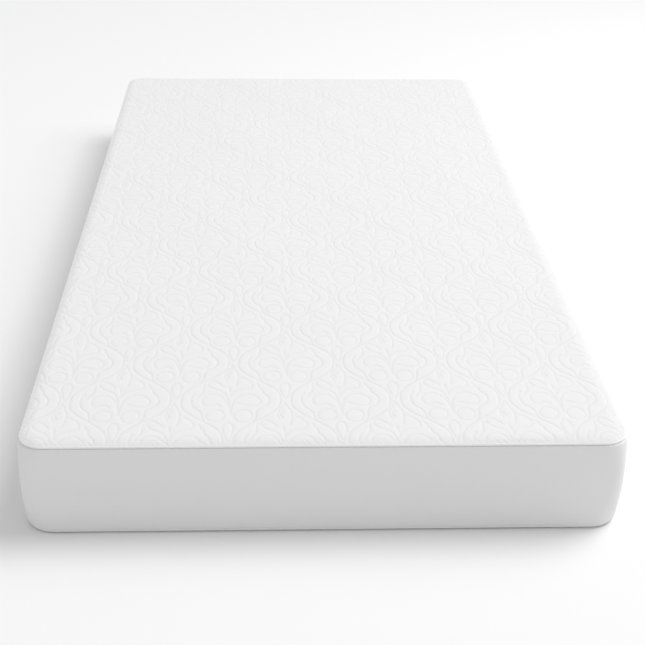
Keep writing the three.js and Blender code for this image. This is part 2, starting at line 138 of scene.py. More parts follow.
def aimed_light(kind, name, place, strength, softness):
    """A light that shines at the middle of the floor. The softness is a width, or a sun's angle."""
    data = bpy.data.lights.new(name, kind)
    data.energy = strength
    if kind == "AREA":
        data.shape = "SQUARE"
        data.size = softness
    else:
        data.angle = softness
    light = bpy.data.objects.new(name, data)
    light.location = place
    light.rotation_mode = "QUATERNION"
    light.rotation_quaternion = Vector(place).to_track_quat("Z", "Y")
    bpy.context.scene.collection.objects.link(light)


def make_studio():
    world = bpy.data.worlds.new("studio")
    world.use_nodes = True
    sky = world.node_tree.nodes["Background"]
    sky.inputs["Color"].default_value = (1, 1, 1, 1)
    sky.inputs["Strength"].default_value = SKY_STRENGTH
    bpy.context.scene.world = world
    bpy.context.scene.view_settings.view_transform = "Standard"
    aimed_light("AREA", "window", WINDOW_PLACE, WINDOW_WATTS, WINDOW_WIDTH)
    aimed_light("SUN", "skylight", SKYLIGHT_PLACE, SKYLIGHT_STRENGTH, SKYLIGHT_ANGLE)
    corners = [(-1, -1, 0), (1, -1, 0), (1, 1, 0), (-1, 1, 0)]
    floor = mesh_object("floor", FLOOR_REACH * np.array(corners), [[0, 1, 2, 3]])
    surface = new_material("floor", grey(FLOOR_LEVEL), roughness=0.9)[0]
    floor.data.materials.append(surface)


# ---- Meshes from arrays -------------------------------------------------------------------


def mesh_object(name, points, faces, weave=None, groove=None):
    """A new object. The faces are a list of index lists, or an array of quads.

    weave is each point's place on the cloth, in metres. groove is how deep it lies in the
    quilting, from 0 to 1; the cloth's material darkens it by that as painted shade.
    """
    mesh = bpy.data.meshes.new(name)
    points = np.asarray(points, dtype=np.float32)
    if isinstance(faces, np.ndarray):
        mesh.vertices.add(len(points))
        mesh.vertices.foreach_set("co", points.ravel())
        mesh.loops.add(faces.size)
        mesh.loops.foreach_set("vertex_index", faces.astype(np.int32).ravel())
        mesh.polygons.add(len(faces))
        starts = np.arange(len(faces), dtype=np.int32) * faces.shape[1]
        mesh.polygons.foreach_set("loop_start", starts)
        mesh.update(calc_edges=True)
    else:
        mesh.from_pydata(points.tolist(), [], faces)
    if weave is not None:
        layer = mesh.attributes.new("weave", "FLOAT_VECTOR", "POINT")
        layer.data.foreach_set("vector", np.asarray(weave, dtype=np.float32).ravel())
    if groove is not None:
        layer = mesh.attributes.new("groove", "FLOAT", "POINT")
        layer.data.foreach_set("value", np.asarray(groove, dtype=np.float32).ravel())
    mesh.polygons.foreach_set("use_smooth", np.ones(len(mesh.polygons), dtype=bool))
    piece = bpy.data.objects.new(name, mesh)
    bpy.context.scene.collection.objects.link(piece)
    return piece


def face_out(piece):
    """Turns the faces of a closed piece outwards."""
    work = bmesh.new()
    work.from_mesh(piece.data)
    bmesh.ops.recalc_face_normals(work, faces=work.faces)
    work.to_mesh(piece.data)
    work.free()


def grid_faces(rows, columns, wrap_rows=False, wrap_columns=False):
    """Quads of a grid of points that are stored row by row."""
    r = np.arange(rows if wrap_rows else rows - 1)
    c = np.arange(columns if wrap_columns else columns - 1)
    r, c = [k.ravel() for k in np.meshgrid(r, c, indexing="ij")]
    r1, c1 = (r + 1) % rows, (c + 1) % columns
    return np.stack([r * columns + c, r1 * columns + c, r1 * columns + c1, r * columns + c1], 1)


def waves(seed, shortest, longest, count=12):
    """A smooth random curve of about unit size, the same on every run.

    It is a sum of waves, whose lengths lie between the shortest and the longest, in metres.
    """
    random = np.random.default_rng(seed)
    lengths = np.exp(random.uniform(np.log(shortest), np.log(longest), count))
    phases = random.uniform(0, 2 * np.pi, count)

    def curve(along):
        along = np.asarray(along)[..., None]
        return np.sin(2 * np.pi * along / lengths + phases).sum(-1) / math.sqrt(count / 2)

    return curve


def smoothstep(x):
    x = np.clip(x, 0, 1)
    return x * x * (3 - 2 * x)


# ---- Materials ----------------------------------------------------------------------------


def new_material(name, color, roughness, sheen=0.0, metallic=0.0):
    """(the material, its node tree, its shader), with the plain numbers on the shader's sockets."""
    surface = bpy.data.materials.new(name)
    surface.use_nodes = True
    shader = surface.node_tree.nodes["Principled BSDF"]
    shader.inputs["Base Color"].default_value = (*color, 1)
    shader.inputs["Roughness"].default_value = roughness
    shader.inputs["Metallic"].default_value = metallic
    shader.inputs["Sheen Weight"].default_value = sheen
    shader.inputs["Sheen Roughness"].default_value = 0.6
    return surface, surface.node_tree, shader


class Nodes:
    """Short calls for the nodes of one material."""

    def __init__(self, tree):
        self.tree = tree

    def add(self, kind, **settings):
        node = self.tree.nodes.new(kind)
        for key, value in settings.items():
            setattr(node, key, value)
        return node

    def put(self, socket, value):
        if isinstance(value, bpy.types.NodeSocket):
            self.tree.links.new(value, socket)
        else:
            socket.default_value = value

    def math(self, operation, *values):
        node = self.add("ShaderNodeMath", operation=operation)
        for socket, value in zip(node.inputs, values):
            self.put(socket, value)
        return node.outputs[0]

    def attribute(self, name):
        return self.add("ShaderNodeAttribute", attribute_name=name)

    def split(self, vector):
        node = self.add("ShaderNodeSeparateXYZ")
        self.put(node.inputs[0], vector)
        return node.outputs

    def noise(self, vector, scale, detail):
        node = self.add("ShaderNodeTexNoise")
        self.put(node.inputs["Vector"], vector)
        self.put(node.inputs["Scale"], scale)
        self.put(node.inputs["Detail"], detail)
        return node.outputs["Fac"]

    def tone(self, value, color, least):
        """The colour, but only its least share of it where the value is 0."""
        node = self.add("ShaderNodeMix", data_type="RGBA")
        self.put(node.inputs["Factor"], value)
        self.put(node.inputs["A"], (*[c * least for c in color], 1))
        self.put(node.inputs["B"], (*color, 1))
        return node.outputs["Result"]

    def painted_shade(self, color, amount, shade_color):
        """The colour times a painted shade colour, where the amount is 1."""
        node = self.add("ShaderNodeMix", data_type="RGBA", blend_type="MULTIPLY")
        self.put(node.inputs["Factor"], amount)
        self.put(node.inputs["A"], color)
        self.put(node.inputs["B"], (*shade_color, 1))
        return node.outputs["Result"]

    def bump(self, height, distance, strength, normal=None):
        node = self.add("ShaderNodeBump")
        self.put(node.inputs["Height"], height)
        self.put(node.inputs["Distance"], distance)
        self.put(node.inputs["Strength"], strength)
        if normal is not None:
            self.put(node.inputs["Normal"], normal)
        return node.outputs["Normal"]


def knit_height(n, weave, wale, course):
    """Jersey stitches: columns of small Vs, wale wide and course high, as a height from 0 to 1."""
    along, across, _ = n.split(weave)
    column = n.math("FRACT", n.math("DIVIDE", along, wale))
    from_middle = n.math("ABSOLUTE", n.math("SUBTRACT", column, 0.5))
    row = n.math("ADD", n.math("DIVIDE", across, course), from_middle)
    loop = n.math("SINE", n.math("MULTIPLY", row, 2 * math.pi))
    ridge = n.math("SINE", n.math("MULTIPLY", from_middle, 2 * math.pi))
    return n.math("ADD", n.math("MULTIPLY", loop, 0.25), n.math("MULTIPLY", ridge, 0.5))


# Painted shade: the cloth's colour is darkened to this share in the quilting's grooves.
GROOVE_SHADE = 0.94
# Painted shade at the bottom of the foam's pores.
PORE_SHADE = (0.7, 0.68, 0.62)


def fabric(name, color, wale, course, depth, roughness=0.9):
    """A knitted cloth with faint changes of tone, and painted shade where the quilting is drawn down.
    """
    surface, tree, shader = new_material(name, color, roughness, sheen=0.25)
    n = Nodes(tree)
    weave = n.attribute("weave").outputs["Vector"]
    groove = n.attribute("groove").outputs["Fac"]
    tone = n.tone(n.noise(weave, scale=9, detail=4), color, least=0.985)
    # Painted shade in the quilting's grooves, by the groove attribute.
    n.put(shader.inputs["Base Color"], n.painted_shade(tone, groove, grey(GROOVE_SHADE)))
    stitches = knit_height(n, weave, wale, course)
    fibres = n.bump(n.noise(weave, scale=2500, detail=2), 0.1 * depth, strength=0.5)
    n.put(shader.inputs["Normal"], n.bump(stitches, depth, strength=0.6, normal=fibres))
    return surface


def grey(level):
    return (level, level, level)


def solid_coordinates(n):
    return n.add("ShaderNodeTexCoord").outputs["Object"]


def fibrous(name, color, grain, depth, roughness=0.95):
    """Fibres or thread, as a fine tangle at the scale of the grain."""
    surface, tree, shader = new_material(name, color, roughness, sheen=0.1)
    n = Nodes(tree)
    tangle = n.noise(solid_coordinates(n), scale=1 / grain, detail=5)
    n.put(shader.inputs["Base Color"], n.tone(tangle, color, least=0.93))
    n.put(shader.inputs["Normal"], n.bump(tangle, depth, strength=0.8))
    return surface


def open_foam(name, color, pore):
    """Cut foam, with open pores, each darker inwards with painted shade."""
    surface, tree, shader = new_material(name, color, roughness=0.95, sheen=0.1)
    n = Nodes(tree)
    place = solid_coordinates(n)
    cells = n.add("ShaderNodeTexVoronoi")
    n.put(cells.inputs["Vector"], place)
    n.put(cells.inputs["Scale"], 1 / pore)
    distance = cells.outputs["Distance"]
    blotches = n.tone(n.noise(place, scale=14, detail=3), color, least=0.97)
    # Painted shade, deepening into each pore.
    into_pore = n.math("SUBTRACT", 0.5, distance)
    n.put(shader.inputs["Base Color"], n.painted_shade(blotches, into_pore, PORE_SHADE))
    n.put(shader.inputs["Normal"], n.bump(distance, pore / 2, strength=0.5))
    return surface


def tape_weave(name, color, rib):
    """A herringbone of fine ribs, along x and up z."""
    surface, tree, shader = new_material(name, color, roughness=0.8, sheen=0.2)
    n = Nodes(tree)
    x, _, z = n.split(solid_coordinates(n))
    row = n.math("FRACT", n.math("DIVIDE", z, 4 * rib))
    zigzag = n.math("ABSOLUTE", n.math("SUBTRACT", row, 0.5))
    slanted = n.math("ADD", n.math("DIVIDE", x, rib), n.math("MULTIPLY", zigzag, 4))
    ribs = n.math("SINE", n.math("MULTIPLY", slanted, 2 * math.pi))
    height = n.math("MULTIPLY", n.math("ADD", ribs, 1), 0.5)
    n.put(shader.inputs["Base Color"], n.tone(height, color, least=0.88))
    n.put(shader.inputs["Normal"], n.bump(height, 0.3 * rib, strength=0.8))
    return surface


GLOSS_SPREAD = 0.08


def smooth_plastic(name, color, roughness):
    """Nylon, a little uneven in gloss."""
    surface, tree, shader = new_material(name, color, roughness)
    n = Nodes(tree)
    cloudy = n.noise(solid_coordinates(n), scale=800, detail=3)
    uneven = n.math("MULTIPLY", cloudy, 2 * GLOSS_SPREAD)
    n.put(shader.inputs["Roughness"], n.math("ADD", roughness - GLOSS_SPREAD, uneven))
    n.put(shader.inputs["Base Color"], n.tone(cloudy, color, least=0.96))
    return surface


def tumbled_metal(name, color):
    """Cast zinc, plated and tumbled: fine scratches and soft spots of gloss."""
    surface, tree, shader = new_material(name, color, roughness=0.3, metallic=1)
    n = Nodes(tree)
    place = solid_coordinates(n)
    spots = n.noise(place, scale=900, detail=4)
    scratches = n.noise(place, scale=4000, detail=2)
    n.put(shader.inputs["Roughness"], n.math("ADD", 0.2, n.math("MULTIPLY", spots, 0.25)))
    n.put(shader.inputs["Base Color"], n.tone(spots, color, least=0.85))
    n.put(shader.inputs["Normal"], n.bump(scratches, 0.02 * MM, strength=0.5))
    return surface


def satin_weave(name, color, thread):
    """A label's satin: long floats that catch the light along one way."""
    surface, tree, shader = new_material(name, color, roughness=0.42, sheen=0.3)
    shader.inputs["Anisotropic"].default_value = 0.5
    n = Nodes(tree)
    along, up, _ = n.split(n.attribute("weave").outputs["Vector"])
    floats = n.math("SINE", n.math("MULTIPLY", up, 2 * math.pi / thread))
    slanted = n.math("ADD", along, n.math("MULTIPLY", up, 3))
    steps = n.math("SINE", n.math("MULTIPLY", slanted, math.pi / thread))
    height = n.math("ADD", n.math("MULTIPLY", floats, 0.35), n.math("MULTIPLY", steps, 0.15))
    n.put(shader.inputs["Base Color"], n.tone(n.math("ADD", height, 0.5), color, least=0.95))
    n.put(shader.inputs["Normal"], n.bump(height, 0.2 * thread, strength=0.5))
    return surface


def finish(piece, surface, slot, *nodes, body="mattress"):
    """Gives a new piece its material and body, and hides the CAD nodes that it stands for."""
    piece.data.materials.append(surface)
    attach(piece, body)
    if nodes:
        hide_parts(*nodes)


def paint(node, surface):
    """Gives a CAD node a better material."""
    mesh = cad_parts[node].data
    mesh.materials.clear()
    mesh.materials.append(surface)


# ---- The outline that every seam follows --------------------------------------------------
# A station is a row of five numbers: the signs of the corner that it belongs to, an angle
# round that corner, a share of the straight that follows, and which straight that is. A
# station of the head end has no corner, and its share is its x.

STEP = 4 * MM
FINE_STEP = 2.5 * MM
LEAST_ROUNDING = 8 * MM
TO_NEXT_CORNER, TO_SEAM, HEAD_END = 0, 1, 2


def corner_radius(z, cover):
    """The seams' corners are rounder than the border's between them, where it stands proud."""
    share = np.clip(z / TOP_BEAD[1], 0, 1)
    at_seams = BASE_CORNER_RADIUS + share * (TOP_CORNER_RADIUS - BASE_CORNER_RADIUS)
    return at_seams - cover * CORNER_TIGHTENING * 4 * share * (1 - share)


def bend(sx, sy, start, step):
    """Stations round a corner, from an angle in half turns on to a quarter turn later."""
    count = round(BASE_CORNER_RADIUS * math.pi / 2 / step)
    angles = [(start + 0.5 * i / count) * math.pi for i in range(count + 1)]
    return [(sx, sy, angle, 0, TO_NEXT_CORNER) for angle in angles]


def straight(sx, sy, angle, length, step):
    """Stations along a side, between the corner that it leaves and the next one."""
    count = round((length - 2 * BASE_CORNER_RADIUS) / step)
    return [(sx, sy, angle * math.pi, i / count, TO_NEXT_CORNER) for i in range(1, count)]


def to_seam(sx, step):
    """Head-end stations from a corner in to the upright seam."""
    count = round((WIDTH / 2 - SEAM_X) / step)
    return [(sx, 1, 0.5 * math.pi, i / count, TO_SEAM) for i in range(1, count + 1)]


def three_sides(step):
    """Stations from one upright seam, round the foot end, to the other."""
    rows = to_seam(-1, step)[::-1]
    rows += bend(-1, 1, 0.5, step) + straight(-1, 1, 1.0, LENGTH, step)
    rows += bend(-1, -1, 1.0, step) + straight(-1, -1, 1.5, WIDTH, step)
    rows += bend(1, -1, 1.5, step) + straight(1, -1, 2.0, LENGTH, step)
    return rows + bend(1, 1, 2.0, step)


def head_stations(start, end, step=STEP):
    """Stations along the head end, from one x to another, each end included."""
    count = max(2, round(abs(end - start) / step) + 1)
    return np.array([(0, 1, 0.5 * math.pi, x, HEAD_END) for x in np.linspace(start, end, count)])


SIDES = np.array(three_sides(STEP) + to_seam(1, STEP))
FROM_CORNER = len(to_seam(-1, FINE_STEP))
HEAD_STRAIGHT = straight(1, 1, 2.5, WIDTH, FINE_STEP)
ALL_ROUND = np.array(three_sides(FINE_STEP)[FROM_CORNER:] + HEAD_STRAIGHT)
COARSE_ROUND = ALL_ROUND[::3]


def outline(inset, z, rows, cover=1.0):
    """The stations' points at an inset and a height, each a number or an array that fits them.

    The cover is 1 for the border's tighter corners, and 0 for the straight ones of what is inside.
    """
    sx, sy, angle, share, kind = rows.T
    rounding = np.maximum(corner_radius(z, cover) - inset, LEAST_ROUNDING)
    half_x = WIDTH / 2 - inset - rounding
    half_y = LENGTH / 2 - inset - rounding
    across = np.select(
        [kind == TO_NEXT_CORNER, kind == TO_SEAM],
        [-2 * half_x * np.round(np.sin(angle)), -sx * (half_x - SEAM_X)],
        1,
    )
    along = np.where(kind == TO_NEXT_CORNER, 2 * half_y * np.round(np.cos(angle)), 0)
    x = sx * half_x + rounding * np.cos(angle) + across * share
    y = sy * half_y + rounding * np.sin(angle) + along * share
    return np.stack([x, y, np.broadcast_to(z, x.shape)], 1)


def run_length(points):
    """How far along a line of points each one is."""
    steps = np.linalg.norm(np.diff(points, axis=0), axis=1)
    return np.concatenate([[0], np.cumsum(steps)])


def swept(name, section, rows, closed=False, shape=None):
    """Sweeps a section, a list of (inset, z), past the stations.

    shape(run, inset, z) gives the changes to one point's inset along the whole run.
    """
    section = np.array(section)
    run = run_length(outline(0, ZIP_Z, rows))
    columns = []
    for inset, z in section:
        change = shape(run, inset, z) if shape else 0
        columns.append(outline(inset + change, z, rows))
    points = np.stack(columns, 1)
    count, size = points.shape[:2]
    around = run_length(section)
    weave = np.stack(np.broadcast_arrays(run[:, None], around[None], 0.0), -1).reshape(-1, 3)
    faces = grid_faces(count, size, wrap_rows=closed, wrap_columns=True)
    if not closed:
        first = list(range(size))
        last = [(count - 1) * size + i for i in reversed(range(size))]
        faces = faces.tolist() + [first, last]
    return mesh_object(name, points.reshape(-1, 3), faces, weave=weave)


def slab(name, levels, cover=0.0):
    """Stacks outlines, a list of (inset, z) from the bottom up, and closes the first and the last."""
    points = np.vstack([outline(inset, z, COARSE_ROUND, cover) for inset, z in levels])
    count = len(COARSE_ROUND)
    faces = grid_faces(len(levels), count, wrap_columns=True)[:, ::-1].tolist()
    faces.append(list(reversed(range(count))))
    faces.append([(len(levels) - 1) * count + i for i in range(count)])
    return mesh_object(name, points, faces, weave=points)


# ---- Quilting -----------------------------------------------------------------------------
# A half-drop ogee, in millimetres. Each curve goes through a few points. The neck's curves are
# measured from the middle of the neck between two ogees, and the rest from the middle of an
# ogee. A berry is an ellipse: its middle and its two radii.

COLUMN_PITCH = 186.4
ROW_PITCH = 130.7
NECK_HALF_WIDTH = 9
FIRST_NECK = (-65.6, 138.7)  # in from the middle of the foot end
CLOTH_SKEW = (-0.0126, -0.0055)  # how far the columns and the rows drift, by how far they run

NECK_CURVES = [
    [(0, 3), (-3, 8), (-6, 18), (-9, 30), (-11, 42), (-9, 52), (-3, 59), (3, 54), (6.5, 44), (6, 30),
     (4, 14), (0, 3)],
    [(-2, -8), (-5, -20), (-10, -32), (-13.5, -44), (-13.5, -54), (-10, -64)],
    [(-1, -12), (4, -26), (8, -38), (10, -51), (9, -66), (7, -82)],
    [(-3, -36), (-8, -44), (-8, -52), (-5, -58)],
]
SCROLL_CURVES = [
    [(-61, 22), (-66, 12), (-67, 0), (-65, -14), (-60, -26), (-53, -33), (-48, -43), (-46, -55),
     (-42, -68), (-37, -76)],
    [(52, 36), (53, 26), (58, 18), (63, 10), (65, -1), (63, -12), (58, -20), (50, -26), (46, -32),
     (44, -42), (44, -54), (40, -67), (35, -76)],
]
LEAF_CURVES = [
    [(-47, 53), (-48, 39), (-49, 27), (-54, 16), (-58, 6)],
    [(43, 55), (46, 47), (48, 38)],
    [(1, -48), (0, -38), (-2, -26), (-6, -10), (-12, 4), (-20, 14), (-30, 18), (-40, 15), (-46, 8),
     (-48, -4), (-45, -14), (-40, -20), (-33, -18), (-26, -14), (-20, -17), (-15, -23)],
    [(1.5, -30), (3, -16), (5, -2), (11, 10), (18, 16), (28, 19), (38, 15), (45, 8), (50, -2),
     (49, -11), (44, -19), (34, -20), (25, -17), (17, -13), (12, -12)],
    [(-14, 44), (-20, 53), (-27, 61), (-34, 65), (-39, 61), (-41, 54), (-38, 46), (-33, 39), (-25, 34),
     (-16, 28), (-10, 19), (-6, 7), (-3, -7), (-1, -20), (1, -34), (3, -48)],
    [(16, 76), (24, 70), (31, 61), (35, 50), (33, 41), (25, 37), (14, 33), (6, 29), (2, 21)],
    [(-4, 44), (-3, 34), (-1, 24), (0, 12)],
]
BERRIES = [((-24.5, -50), (15.5, 18)), ((21.5, -52), (15, 19.5))]
CURVE_REACH = 45  # how far a curve's points still matter, outside the period

PUFF = 0.53
PUFF_FILL = 20  # the membrane's rise that gives 63% of the puff
GROOVE_DEPTH = 0.45
GROOVE_HALF_WIDTH = 1.5
FINE_SHARE = 0.7  # of a leaf line's depth to a main line's
RELIEF_CELL = 0.75
MEMBRANE_ROUNDS = 900
STRAND_POINTS = 160
BERRY_POINTS = 90


def spline(points, step=1.0):
    """A Catmull-Rom curve through the points, about a step apart."""
    p = np.array(points, dtype=float)
    p = np.vstack([2 * p[0] - p[1], p, 2 * p[-1] - p[-2]])
    pieces = []
    for a, b, c, d in zip(p, p[1:], p[2:], p[3:]):
        t = np.linspace(0, 1, max(2, int(np.linalg.norm(c - b) / step)), endpoint=False)[:, None]
        pieces.append(0.5 * (2 * b + (c - a) * t + (2 * a - 5 * b + 4 * c - d) * t**2
                             + (3 * b - a - 3 * c + d) * t**3))
    return np.vstack(pieces + [p[-2:-1]])


def strand(side):
    """An ogee's side, from one neck to the next one over, up the mattress."""
    t = np.linspace(0, 1, STRAND_POINTS)
    swing = t**3 * (t * (6 * t - 15) + 10)
    reach = COLUMN_PITCH / 2 - 2 * NECK_HALF_WIDTH
    return np.stack([side * (NECK_HALF_WIDTH + reach * swing), t * ROW_PITCH], 1)


def ellipse(middle, radii):
    angle = np.linspace(0, 2 * np.pi, BERRY_POINTS)
    return np.stack([middle[0] + radii[0] * np.cos(angle), middle[1] + radii[1] * np.sin(angle)], 1)


def repeated(curves):
    """The curves' points at every place of the repeat that can reach one period."""
    points = np.vstack(curves)
    cells = [(i, j) for i in range(-2, 3) for j in range(-2, 4)]
    places = [(COLUMN_PITCH * (i + 0.5 * (j % 2)), ROW_PITCH * j) for i, j in cells]
    points = (points[None] + np.array(places)[:, None]).reshape(-1, 2)
    far_corner = np.array((COLUMN_PITCH, 2 * ROW_PITCH)) + CURVE_REACH
    inside = (points > -CURVE_REACH) & (points < far_corner)
    return points[inside.all(1)]


def distance_map(points, xs, ys):
    """How far each place of the grid is from the nearest point."""
    tree = kdtree.KDTree(len(points))
    for i, (x, y) in enumerate(points):
        tree.insert((x, y, 0), i)
    tree.balance()
    return np.array([[tree.find((x, y, 0))[2] for x in xs] for y in ys])


def membrane(free, cell, rounds):
    """The height of a cloth blown up evenly and held down where it isn't free, over one period."""
    height = np.zeros(free.shape)
    for _ in range(rounds):
        around = sum(np.roll(height, shift, axis) for shift in (-1, 1) for axis in (0, 1))
        height = np.where(free, (around + cell**2) / 4, 0)
    return height


def relief_map():
    """One period of the quilting: its height in metres and how deep in a groove each place is."""
    cell = RELIEF_CELL
    columns, rows = round(COLUMN_PITCH / cell), round(2 * ROW_PITCH / cell)
    xs = np.arange(columns) * COLUMN_PITCH / columns
    ys = np.arange(rows) * 2 * ROW_PITCH / rows
    ogee = np.array((COLUMN_PITCH / 2, 0))
    necks = [spline(c) for c in NECK_CURVES]
    scrolls = [spline(c) + ogee for c in SCROLL_CURVES]
    leaves = [spline(c) + ogee for c in LEAF_CURVES] + [ellipse(*b) + ogee for b in BERRIES]
    main = distance_map(repeated([strand(1), strand(-1)] + scrolls), xs, ys)
    fine = distance_map(repeated(necks + leaves), xs, ys)
    blown = membrane(np.minimum(main, fine) > cell, cell, MEMBRANE_ROUNDS)
    puff = PUFF * (1 - np.exp(-blown / PUFF_FILL))
    groove = np.maximum(
        np.exp(-((main / GROOVE_HALF_WIDTH) ** 2)),
        FINE_SHARE * np.exp(-((fine / GROOVE_HALF_WIDTH) ** 2)),
    )
    return (puff - GROOVE_DEPTH * groove) * MM, groove


def sample(period, x, y):
    """Values of a map of one period at places in metres, smoothly between its grid's points."""
    rows, columns = period.shape
    across = (x + CLOTH_SKEW[0] * y) / MM - FIRST_NECK[0]
    along = (y + CLOTH_SKEW[1] * x) / MM - FIRST_NECK[1]
    u = (across / COLUMN_PITCH) % 1 * columns
    v = (along / (2 * ROW_PITCH)) % 1 * rows
    u0, v0 = np.floor(u).astype(int), np.floor(v).astype(int)
    fu, fv = u - u0, v - v0
    u0, v0 = u0 % columns, v0 % rows
    u1, v1 = (u0 + 1) % columns, (v0 + 1) % rows
    lower = period[v0, u0] * (1 - fu) + period[v0, u1] * fu
    upper = period[v1, u0] * (1 - fu) + period[v1, u1] * fu
    return lower * (1 - fv) + upper * fv


# ---- Quilted top --------------------------------------------------------------------------

QUILT_STEP = 1.5 * MM
EDGE_STEP = 0.6 * MM
EDGE_GROWTH = 1.15
ROLL_DEPTH = 22 * MM
BEAD_OVERLAP = 2.4 * MM  # how far the top's edge comes out over the piping
UNDERSIDE_STRIDE = 8
QUILT_FADE = 9 * MM  # how far in from the edge the quilting reaches its full depth
SWELL = 0.3 * MM  # slow unevenness all over
GATHER = 0.25 * MM  # small ripples at the seam
GATHER_WIDTH = 5 * MM


def graded(half):
    """Coordinates from -half to half, close together at the ends."""
    from_edge = [0.0]
    step = EDGE_STEP
    while step < QUILT_STEP:
        from_edge.append(from_edge[-1] + step)
        step *= EDGE_GROWTH
    reach = half - from_edge[-1]
    count = UNDERSIDE_STRIDE * round(2 * reach / QUILT_STEP / UNDERSIDE_STRIDE) + 1
    extra = -2 * (len(from_edge) - 1) % UNDERSIDE_STRIDE
    middle = np.linspace(-reach, reach, count + extra)
    edge = half - np.array(from_edge[:-1])
    return np.concatenate([-edge, middle, edge[::-1]])


def top_plan():
    """The top's points seen from above, with their distance in from its edge."""
    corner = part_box("top_panel_fabric")[1]
    half_x, half_y = corner.x + BEAD_OVERLAP, corner.y + BEAD_OVERLAP
    rounding = TOP_CORNER_RADIUS - (high.x - half_x)
    x, y = np.meshgrid(graded(half_x), graded(half_y))
    over_x = np.maximum(np.abs(x) - (half_x - rounding), 0) / rounding
    over_y = np.maximum(np.abs(y) - (half_y - rounding), 0) / rounding
    most = np.maximum(over_x, over_y)
    round_it = (over_x > 0) & (over_y > 0)
    squeeze = np.where(round_it, most / np.maximum(np.hypot(over_x, over_y), 1e-9), 1)
    to_side = np.minimum(half_x - np.abs(x), half_y - np.abs(y))
    depth = np.where(round_it, rounding * (1 - most), to_side)
    x = np.where(round_it, np.sign(x) * (half_x - rounding + over_x * squeeze * rounding), x)
    y = np.where(round_it, np.sign(y) * (half_y - rounding + over_y * squeeze * rounding), y)
    return x, y, np.maximum(depth, 0)


def rolled(depth, edge, crown):
    """The height of a skin that rolls up from its edge to its crown."""
    share = 1 - np.clip(depth / ROLL_DEPTH, 0, 1)
    return edge + (crown - edge) * (1 - share**2)


def underside(rows, columns):
    """Index lists that close a fine grid's edge onto a coarse one, which follows it in the mesh."""
    stride = UNDERSIDE_STRIDE
    coarse_rows, coarse_columns = (rows - 1) // stride + 1, (columns - 1) // stride + 1
    first = rows * columns
    faces = (grid_faces(coarse_rows, coarse_columns) + first).tolist()
    last = coarse_rows - 1
    for i in range(coarse_columns - 1):
        fine = list(range(i * stride, (i + 1) * stride + 1))
        faces.append(fine[::-1] + [first + i, first + i + 1])
        far = [(rows - 1) * columns + k for k in fine]
        corner = first + last * coarse_columns + i
        faces.append(far + [corner + 1, corner])
    for i in range(last):
        fine = [k * columns for k in range(i * stride, (i + 1) * stride + 1)]
        corner = first + i * coarse_columns
        faces.append(fine + [corner + coarse_columns, corner])
        far = [k + columns - 1 for k in fine]
        corner += coarse_columns - 1
        faces.append(far[::-1] + [corner, corner + coarse_columns])
    return faces


def quilted_top():
    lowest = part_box("top_panel_fabric")[0].z
    edge = TOP_BEAD[1] + BEAD_RADIUS + SEAM_GAP
    x, y, depth = top_plan()
    height, groove = relief_map()
    fade = smoothstep(depth / QUILT_FADE)
    foot = y + LENGTH / 2
    ripple = waves(3, shortest=7 * MM, longest=18 * MM)
    swell = waves(4, shortest=0.2, longest=0.7)
    skin = rolled(depth, edge, TOP)
    z = skin + fade * (sample(height, x, foot) + SWELL * swell(x + 0.6 * y))
    gathered = np.exp(-depth / GATHER_WIDTH) * (1 - np.exp(-depth / MM))
    z = z + GATHER * gathered * ripple(x + y)
    drawn = sample(groove, x, foot) * fade
    stride = UNDERSIDE_STRIDE
    coarse = (slice(None, None, stride), slice(None, None, stride))
    under = np.maximum(skin[coarse] - FABRIC_THICKNESS, lowest)
    fine_points = np.stack([x, y, z], -1).reshape(-1, 3)
    coarse_points = np.stack([x[coarse], y[coarse], under], -1).reshape(-1, 3)
    points = np.vstack([fine_points, coarse_points])
    rows, columns = x.shape
    faces = grid_faces(rows, columns)[:, ::-1].tolist() + underside(rows, columns)
    # How much painted shade darkens each point: the groove depth on top, none underneath.
    shade = np.concatenate([drawn.ravel(), np.zeros(len(coarse_points))])
    return mesh_object("quilted_top", points, faces, weave=points, groove=shade)


# ---- Border -------------------------------------------------------------------------------

# Each pair is how far the face changes at a seam, and how far from it that dies away.

LIP_ROUNDING = 3 * MM  # at the zip
SHOULDER_ROUNDING = 3 * MM  # under the top piping
SHOULDER_SLOPE = (0.5 * MM, 9 * MM)
FOOT_TUCK = (1.4 * MM, 1.1 * MM)
FOOT_DRAW = (1 * MM, 45 * MM)
PUCKER = (0.2 * MM, 6 * MM)
UPRIGHT_DIP = (1.6 * MM, 2.5 * MM)
UNEVENNESS = 0.35 * MM
NEAR_EDGE = 10 * MM  # how far from a strip's edge its rows are close together
NEAR_ROWS = 10
BACK_ROWS = 16
BORDER_SEED = 20
PADDING_ROWS = 20


def face_inset(z):
    """The border's face: a shoulder at the top seam, and drawn in towards the bottom one."""
    shoulder = rounded(FACE_HIGH - z, SHOULDER_ROUNDING)
    shoulder = shoulder + SHOULDER_SLOPE[0] * np.exp((z - FACE_HIGH) / SHOULDER_SLOPE[1])
    tuck = FOOT_TUCK[0] * np.exp((FACE_LOW - z) / FOOT_TUCK[1])
    return shoulder + tuck + FOOT_DRAW[0] * np.exp(-(((z - FACE_LOW) / FOOT_DRAW[1]) ** 2))


def rounded(distance, radius):
    """How far a folded edge has rounded in, by the distance to it."""
    left = np.clip(radius - distance, 0, radius)
    return radius - np.sqrt(radius**2 - left**2)


def border_heights(start, end):
    """Heights up a strip, close together near its edges."""
    from_edge = NEAR_EDGE * (1 - np.cos(np.linspace(0, math.pi / 2, NEAR_ROWS)))
    count = max(2, round((end - start - 2 * NEAR_EDGE) / STEP))
    middle = np.linspace(start + NEAR_EDGE, end - NEAR_EDGE, count)
    return np.concatenate([start + from_edge[:-1], middle, end - from_edge[-2::-1]])


